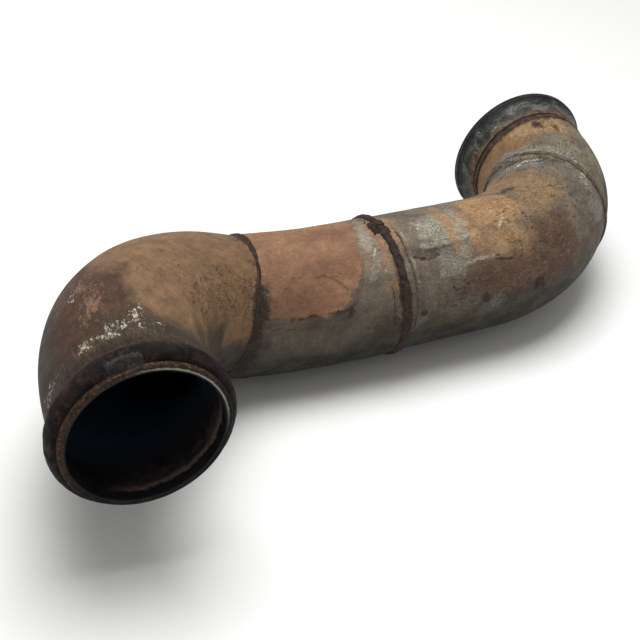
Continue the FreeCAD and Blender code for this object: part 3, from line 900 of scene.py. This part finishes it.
def bend_piece(runs, seams, inside):
    paint = {
        "red": [(88, 142, 40, 24), (126, 138, 26, 30), (100, 250, 80, 30), (88, 2, 22, 12)],
        "scale": [(148, 58, 32, 20), (145, 90, 26, 18), (86, 122, 20, 12), (120, 300, 60, 40)],
        # Bare patches are partly a painted sheen on top; the first bare line is a painted highlight
        # along the raised crease.
        "bare_and_sheen": [(38, 98, 13, 15), (58, 94, 6, 18), (30, 330, 20, 40)],
        "bare_and_sheen_lines": [([(20, 112), (46, 112), (66, 110)], 3.6, 1.3),
                       ([(52, 133), (60, 132), (76, 131)], 2.0, 1.0),
                       ([(10, 92), (9.5, 140)], 1.3, 0.72)],
        "veil": [(40, 131, 12, 14), (53, 122, 9, 7), (199, 97, 6, 10), (75, 173, 7, 4),
                 (190, 52, 10, 22), (194, 118, 9, 12), (185, 140, 14, 12)],
        "rust": [(94, 84, 26, 24), (50, 92, 3.6, 16), (66, 95, 5, 18), (5, 86, 3, 12),
                 (94, 118, 12, 5), (10, 12, 8, 22), (168, 24, 16, 9)],
        # Grime is partly painted shade below; scorch lines are partly painted shade in the dented
        # wedge and beside the seams.
        "grime_and_shade": [(108, 216, 130, 42), (92, 192, 30, 10)],
        "scorch_and_shade": [(110, 166, 6, 6), (116, 198, 11, 7), (126, 67, 9, 4), (66, 167, 5, 5),
                   (200, 62, 3, 20), (146, 8, 8, 4), (58, 352, 5, 8)],
        "scorch_and_shade_lines": [([(12, 119), (24, 124), (32, 120)], 3.6, 0.75),
                         ([(78, 135), (92, 137)], 1.8, 0.9), ([(6.5, 85), (6.5, 200)], 2.2, 0.7),
                         ([(12, 168), (14, 168)], 3, 1.4), ([(38, 150), (38, 151)], 2, 1.0),
                         ([(50, 150), (51, 150)], 2, 1.0),
                         ([(193, 28), (196, 46), (192, 62), (196, 84)], 1.6, 0.72)],
        "speck": [(135, 105, 52, 46), (60, 155, 46, 24), (112, 165, 14, 12), (108, 112, 30, 22),
                  (178, 90, 26, 50), (66, 24, 56, 28), (140, 346, 60, 40)],
        "flake": [(190, 44, 5, 14), (195, 115, 8, 8), (197, 64, 4, 14), (38, 100, 8, 7),
                  (24, 94, 5, 4), (75, 173, 3, 3), (34, 338, 10, 6), (120, 20, 7, 4)],
        "flake_lines": [([(90, 108), (93, 103), (97, 99)], 2.3, 1.8)],
    }

    def dents(along, around):
        wedge = -1.7 * stroke(along, around, [(8, 118), (24, 123), (34, 120)], 8)
        crease = 0.8 * stroke(along, around, [(18, 112), (46, 112), (72, 111)], 4)
        lower = 0.45 * stroke(along, around, [(50, 133), (70, 131), (94, 131)], 3)
        flat = -1.1 * spot(along, around, (40, 124, 22, 9), 12)
        return wedge + crease + lower + flat - 0.5
    return tube("outlet_bend", runs["bend"], (seams["middle"], seams["stub"]),
                [bend_steel(), inside], paint, dents, seed=19)


def stub_piece(runs, seams, inside):
    paint = {
        "scale": [(46, 30, 22, 44)],
        "rust": [(52, 88, 12, 30), (14, 8, 12, 14)],
        "red": [(22, 0, 22, 18), (30, 250, 40, 40)],
        "veil": [(8, 56, 10, 54), (20, 46, 9, 10)],
        # Grime is partly painted shade below; scorch is partly painted shade beside the seams.
        "grime_and_shade": [(30, 205, 60, 50)],
        "scorch_and_shade": [(16, -4, 12, 7), (62, 60, 2, 60), (53, 84, 6, 4), (45, 98, 4, 2)],
        "speck": [(30, 110, 35, 50), (12, 40, 20, 40)],
        "scorch_and_shade_lines": [([(5, 14), (8, 30), (5, 48), (8, 66)], 1.6, 0.75)],
        "flake": [(7, 36, 8, 20), (22, 46, 5, 4), (5, 74, 4, 18), (4, 112, 5, 8)],
    }

    def dents(along, around):
        return np.zeros_like(along)
    return tube("outlet_stub", runs["stub"], (seams["stub"], seams["outlet"]),
                [stub_steel(), inside], paint, dents, seed=27)


def spigot_piece(inside):
    profile = [
        (MOUTH, SPIGOT_END), (MOUTH, 0.0), (SPIGOT - MOUTH_CHAMFER, 0.0), (SPIGOT, MOUTH_CHAMFER),
        (SPIGOT, SPIGOT_END),
    ]
    return turned_piece("inlet_spigot", seam_at(Vector()), profile,
                        [collar_steel(), inside], wear=0.3, seed=31, bore=48.0)


def ridge_height(along):
    """Height of the ridge over the spigot, in millimetres, at a distance from the mouth."""
    share = np.clip(np.abs(np.asarray(along) - RIDGE_MIDDLE) / RIDGE_HALF, 0, 1)
    return RIDGE_HEIGHT * (1 - share ** 2) ** 0.45


def ridge_piece():
    turns = [math.radians(degrees) for degrees in range(-84, 85, 12)]
    stations = [RIDGE_MIDDLE + RIDGE_HALF * math.sin(turn) for turn in turns]
    hump = [(SPIGOT + float(ridge_height(along)), along) for along in stations]
    foot = SPIGOT - RIDGE_FOOT
    profile = [(foot, RIDGE_MIDDLE - RIDGE_HALF)] + hump + [(foot, RIDGE_MIDDLE + RIDGE_HALF)]
    return turned_piece("inlet_ridge_ring", seam_at(Vector()), profile,
                        [ridge_steel()], wear=0.7, seed=37)


def flange_piece(seams, inside):
    profile = [
        (HUB_BORE, SOCKET_START), (SOCKET, SOCKET_START), (SOCKET, RIM_END), (RIM, RIM_END),
        (RIM, RIM_START), (CONE, CONE_END), (HUB, CONE_START), (HUB, HUB_START),
        (HUB_BORE, HUB_START),
    ]
    return turned_piece("outlet_flange", seams["outlet"], profile,
                        [flange_steel(), inside], wear=0.15, seed=41, bore=51.0)


def weld_pieces(runs, seams):
    """The five beads and the three patches, in dark, rusty, faded, greyish or flaky metal."""
    metal = weld_metal("weld_metal", (0.022, 0.015, 0.012), (0.060, 0.038, 0.028),
                       (0.170, 0.120, 0.085), share=0.0)
    faded = weld_metal("faded_weld_metal", (0.062, 0.046, 0.034), (0.150, 0.120, 0.086),
                       (0.270, 0.240, 0.190), share=0.06)
    repair = weld_metal("repair_metal", (0.020, 0.017, 0.018), (0.052, 0.043, 0.043),
                        (0.115, 0.098, 0.096), share=0.05)
    rusty = weld_metal("rusty_weld_metal", (0.030, 0.018, 0.013), (0.100, 0.056, 0.034),
                       (0.210, 0.130, 0.075), share=0.02)
    scar = weld_metal("scar_metal", (0.074, 0.058, 0.046), (0.200, 0.168, 0.130),
                      (0.430, 0.390, 0.340), share=0.08)
    rings = [   # name, seam, run before, run after, half width, crest, drift, material, seed
        ("inlet_weld", "inlet", "spigot", "elbow", 3.0, 1.6, 0, metal, 51),
        ("elbow_weld", "elbow", "elbow", "middle", 2.5, 1.1, 0, metal, 56),
        ("middle_weld", "middle", "middle", "bend", 3.9, 2.4, 2.2, metal, 61),
        ("stub_weld", "stub", "bend", "stub", 2.6, 1.0, 0, faded, 66),
        ("flange_weld", "outlet", "stub", "flange", 3.5, 1.6, 0.9, rusty, 71),
    ]
    for name, seam, before, after, half_width, crest, drift, material, seed in rings:
        bead(name, seams[seam], runs[before], runs[after], half_width, crest, drift, material, seed)
    patch("ridge_patch_weld", seam_at(Vector()), straight(Vector(), SPIGOT * MM),
          turn=(107.5, 26.0), place=(5.2, 3.9), base=ridge_height, rise=3.2, top=5.9,
          material=repair, seed=83)
    patch("middle_weld_lump", seams["middle"], runs["middle"],
          turn=(93.0, 19.0), place=(0.4, 7.4), base=np.zeros_like, rise=3.4, top=3.4,
          material=metal, seed=87)
    patch("stub_patch_weld", seams["stub"], runs["bend"],
          turn=(148.0, 46.0), place=(-5.0, 5.4), base=np.zeros_like, rise=1.9, top=2.4,
          material=scar, seed=91)


# Stage

def stage_floor(lowest, side=30.0):
    """A plain pale floor under the part, reaching far past the view."""
    look = Look("floor")
    colour = look.mix(look.noise(0.3, 3.0), (0.80, 0.80, 0.79), (0.84, 0.84, 0.83))
    rough = look.ramp(look.noise(0.05, 3.0), 0.3, 0.7, 0.72, 0.82)
    material = look.finish(colour, rough, look.noise(0.004, 2.0), depth=0.02 * MM)
    mesh = bpy.data.meshes.new("floor")
    corners = [(-side, -side), (side, -side), (side, side), (-side, side)]
    mesh.from_pydata([(x, y, lowest) for x, y in corners], [], [(0, 1, 2, 3)])
    mesh.materials.append(material)
    floor = bpy.data.objects.new("floor", mesh)
    bpy.context.scene.collection.objects.link(floor)


def softbox(name, place, target, size, power):
    """A rectangular light that faces the target."""
    data = bpy.data.lights.new(name, "AREA")
    data.shape = "RECTANGLE"
    data.size, data.size_y = size
    data.energy = power
    light = bpy.data.objects.new(name, data)
    light.location = place
    light.rotation_euler = (Vector(target) - Vector(place)).to_track_quat("-Z", "Y").to_euler()
    bpy.context.scene.collection.objects.link(light)


def lights():
    """Even white surroundings, a soft light overhead and a weak one from the left."""
    world = bpy.data.worlds.new("world")
    bpy.context.scene.world = world
    world.use_nodes = True
    background = world.node_tree.nodes["Background"]
    background.inputs["Color"].default_value = (1.0, 1.0, 1.0, 1.0)
    background.inputs["Strength"].default_value = 0.38
    middle = (0.22, 0.17, -0.03)
    softbox("top_light", (0.10, 0.40, 1.6), middle, size=(1.3, 1.0), power=34)
    softbox("left_light", (-1.3, -0.6, 1.0), middle, size=(0.9, 0.9), power=1.5)


def camera():
    """A view down on the mouth, from its left, with the outlet far behind on the right."""
    data = bpy.data.cameras.new("camera")
    data.lens = 81.56
    data.sensor_width = 36.0
    data.clip_start = 0.01
    view = bpy.data.objects.new("camera", data)
    place = (-0.22236, -0.58003, 0.53744)
    right = Vector((0.9125, -0.3825, 0.1448)).normalized()
    forward = Vector((0.3917, 0.7153, -0.5787)).normalized()
    up = right.cross(forward)
    turn = Matrix((right, up, -forward)).transposed().to_4x4()
    view.matrix_world = Matrix.Translation(place) @ turn
    bpy.context.scene.collection.objects.link(view)
    bpy.context.scene.camera = view


runs, seams = centrelines()
black = soot()
spigot_piece(black)
ridge_piece()
elbow_piece(runs, seams, black)
middle_piece(runs, seams, black)
bend_piece(runs, seams, black)
stub_piece(runs, seams, black)
flange_piece(seams, black)
weld_pieces(runs, seams)
stage_floor(CAD_BOX[0].z)
lights()
camera()
bpy.context.scene.view_settings.view_transform = "Standard"
